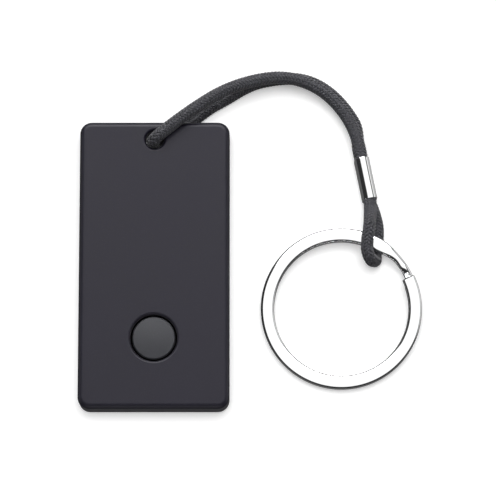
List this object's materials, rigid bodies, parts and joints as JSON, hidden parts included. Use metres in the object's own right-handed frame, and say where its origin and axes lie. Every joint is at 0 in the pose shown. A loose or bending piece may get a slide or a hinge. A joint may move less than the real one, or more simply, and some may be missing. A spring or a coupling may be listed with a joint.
{
  "type": "bluetooth tracker tag",
  "caption": "Flat rectangular tracker tag with a push button, on a braided cord loop that carries a split key ring.",
  "frame": {"origin": "centre of the tag's flat back face", "axes": "+Z out of the front face with the button, +Y along the tag towards the cord hole, +X across the tag towards the ring"},
  "size_m": [0.0638, 0.0646, 0.0087],
  "materials": {
    "case_black": "fine satin texture",
    "button_black": "matte",
    "cord_black": "braided",
    "bright_steel": "polished",
    "ferrule_steel": "polished",
    "board_green": "solder mask",
    "screw_steel": "zinc plated",
    "chip_black": "moulded",
    "crystal_can": "plain",
    "antenna_ceramic": "glazed",
    "inductor_ferrite": "matt",
    "capacitor_ceramic": "matt",
    "resistor_ceramic": "glazed",
    "cell_steel": "nickel plated",
    "cell_gasket": "natural",
    "cell_cathode": "pressed powder",
    "cell_separator": "non-woven",
    "cell_anode": "dull",
    "contact_gold": "plated",
    "piezo_brass": "rolled",
    "piezo_ceramic": "silvered",
    "adhesive_foam": "foam",
    "lead_red": "insulated",
    "switch_body": "moulded",
    "switch_steel": "plain",
    "switch_stem": "moulded"
  },
  "bodies": {
    "tag": {"front_shell": "case_black", "back_cover": "case_black", "main_board": "board_green", "board_screws": "screw_steel", "radio_chip": "chip_black", "radio_crystal": "crystal_can", "clock_crystal": "crystal_can", "chip_antenna": "antenna_ceramic", "boost_inductor": "inductor_ferrite", "capacitors": "capacitor_ceramic", "resistors": "resistor_ceramic", "battery_can": "cell_steel", "battery_cap": "cell_steel", "battery_gasket": "cell_gasket", "battery_cathode": "cell_cathode", "battery_separator": "cell_separator", "battery_anode": "cell_anode", "positive_contact": "contact_gold", "negative_contact": "contact_gold", "piezo_ring": "adhesive_foam", "piezo_plate": "piezo_brass", "piezo_ceramic": "piezo_ceramic", "piezo_leads": "lead_red", "switch_base": "switch_body", "switch_cover": "switch_steel", "switch_terminals": "switch_steel", "switch_dome": "switch_steel"},
    "button": {"push_button": "button_black"},
    "plunger": {"switch_plunger": "switch_stem"},
    "cord_root": {"cord_hitch": "cord_black"},
    "cord_link_1": {"cord_link_1_front": "cord_black", "cord_link_1_back": "cord_black"},
    "cord_link_2": {"cord_link_2_front": "cord_black", "cord_link_2_back": "cord_black"},
    "cord_end": {"cord_end_front": "cord_black", "cord_end_back": "cord_black", "crimp_ferrule": "ferrule_steel"},
    "loop": {"ring_loop": "cord_black"},
    "ring": {"split_ring": "bright_steel"}
  },
  "joints": [
    {"name": "button_press", "type": "slide", "parent": "tag", "child": "button", "axis": [0, 0, -1], "range_m": [0, 0.00025], "stiffness_N_per_m": 8, "springref_m": -0.0003, "deforming": ["switch_dome"]},
    {"name": "plunger_press", "type": "slide", "parent": "tag", "child": "plunger", "axis": [0, 0, -1], "range_m": [0, 0.00025]},
    {"name": "cord_swing", "type": "hinge", "parent": "tag", "child": "cord_root", "pos_m": [0, 0.0236, 0.0064], "axis": [0, 0, 1], "range_deg": [-5, 105]},
    {"name": "cord_flex_1", "type": "hinge", "parent": "cord_root", "child": "cord_link_1", "pos_m": [0.01058, 0.03111, 0.00253], "axis": [0, 0, 1], "range_deg": [0, 35]},
    {"name": "cord_flex_2", "type": "hinge", "parent": "cord_link_1", "child": "cord_link_2", "pos_m": [0.02309, 0.036, 0.00253], "axis": [0, 0, 1], "range_deg": [0, 35]},
    {"name": "cord_flex_3", "type": "hinge", "parent": "cord_link_2", "child": "cord_end", "pos_m": [0.03526, 0.03038, 0.00253], "axis": [0, 0, 1], "range_deg": [0, 35]},
    {"name": "loop_lift", "type": "hinge", "parent": "cord_end", "child": "loop", "pos_m": [0.04048, 0.01174, 0.00253], "axis": [-0.9813, -0.1925, 0], "range_deg": [0, 30]},
    {"name": "ring_spin", "type": "hinge", "parent": "loop", "child": "ring", "pos_m": [0.0348, -0.0079, 0.00261], "axis": [-0.0269, -0.0829, 0.9962], "continuous": true}
  ],
  "couplings": [
    {"joint": "plunger_press", "follows": "button_press", "ratio": 1}
  ]
}
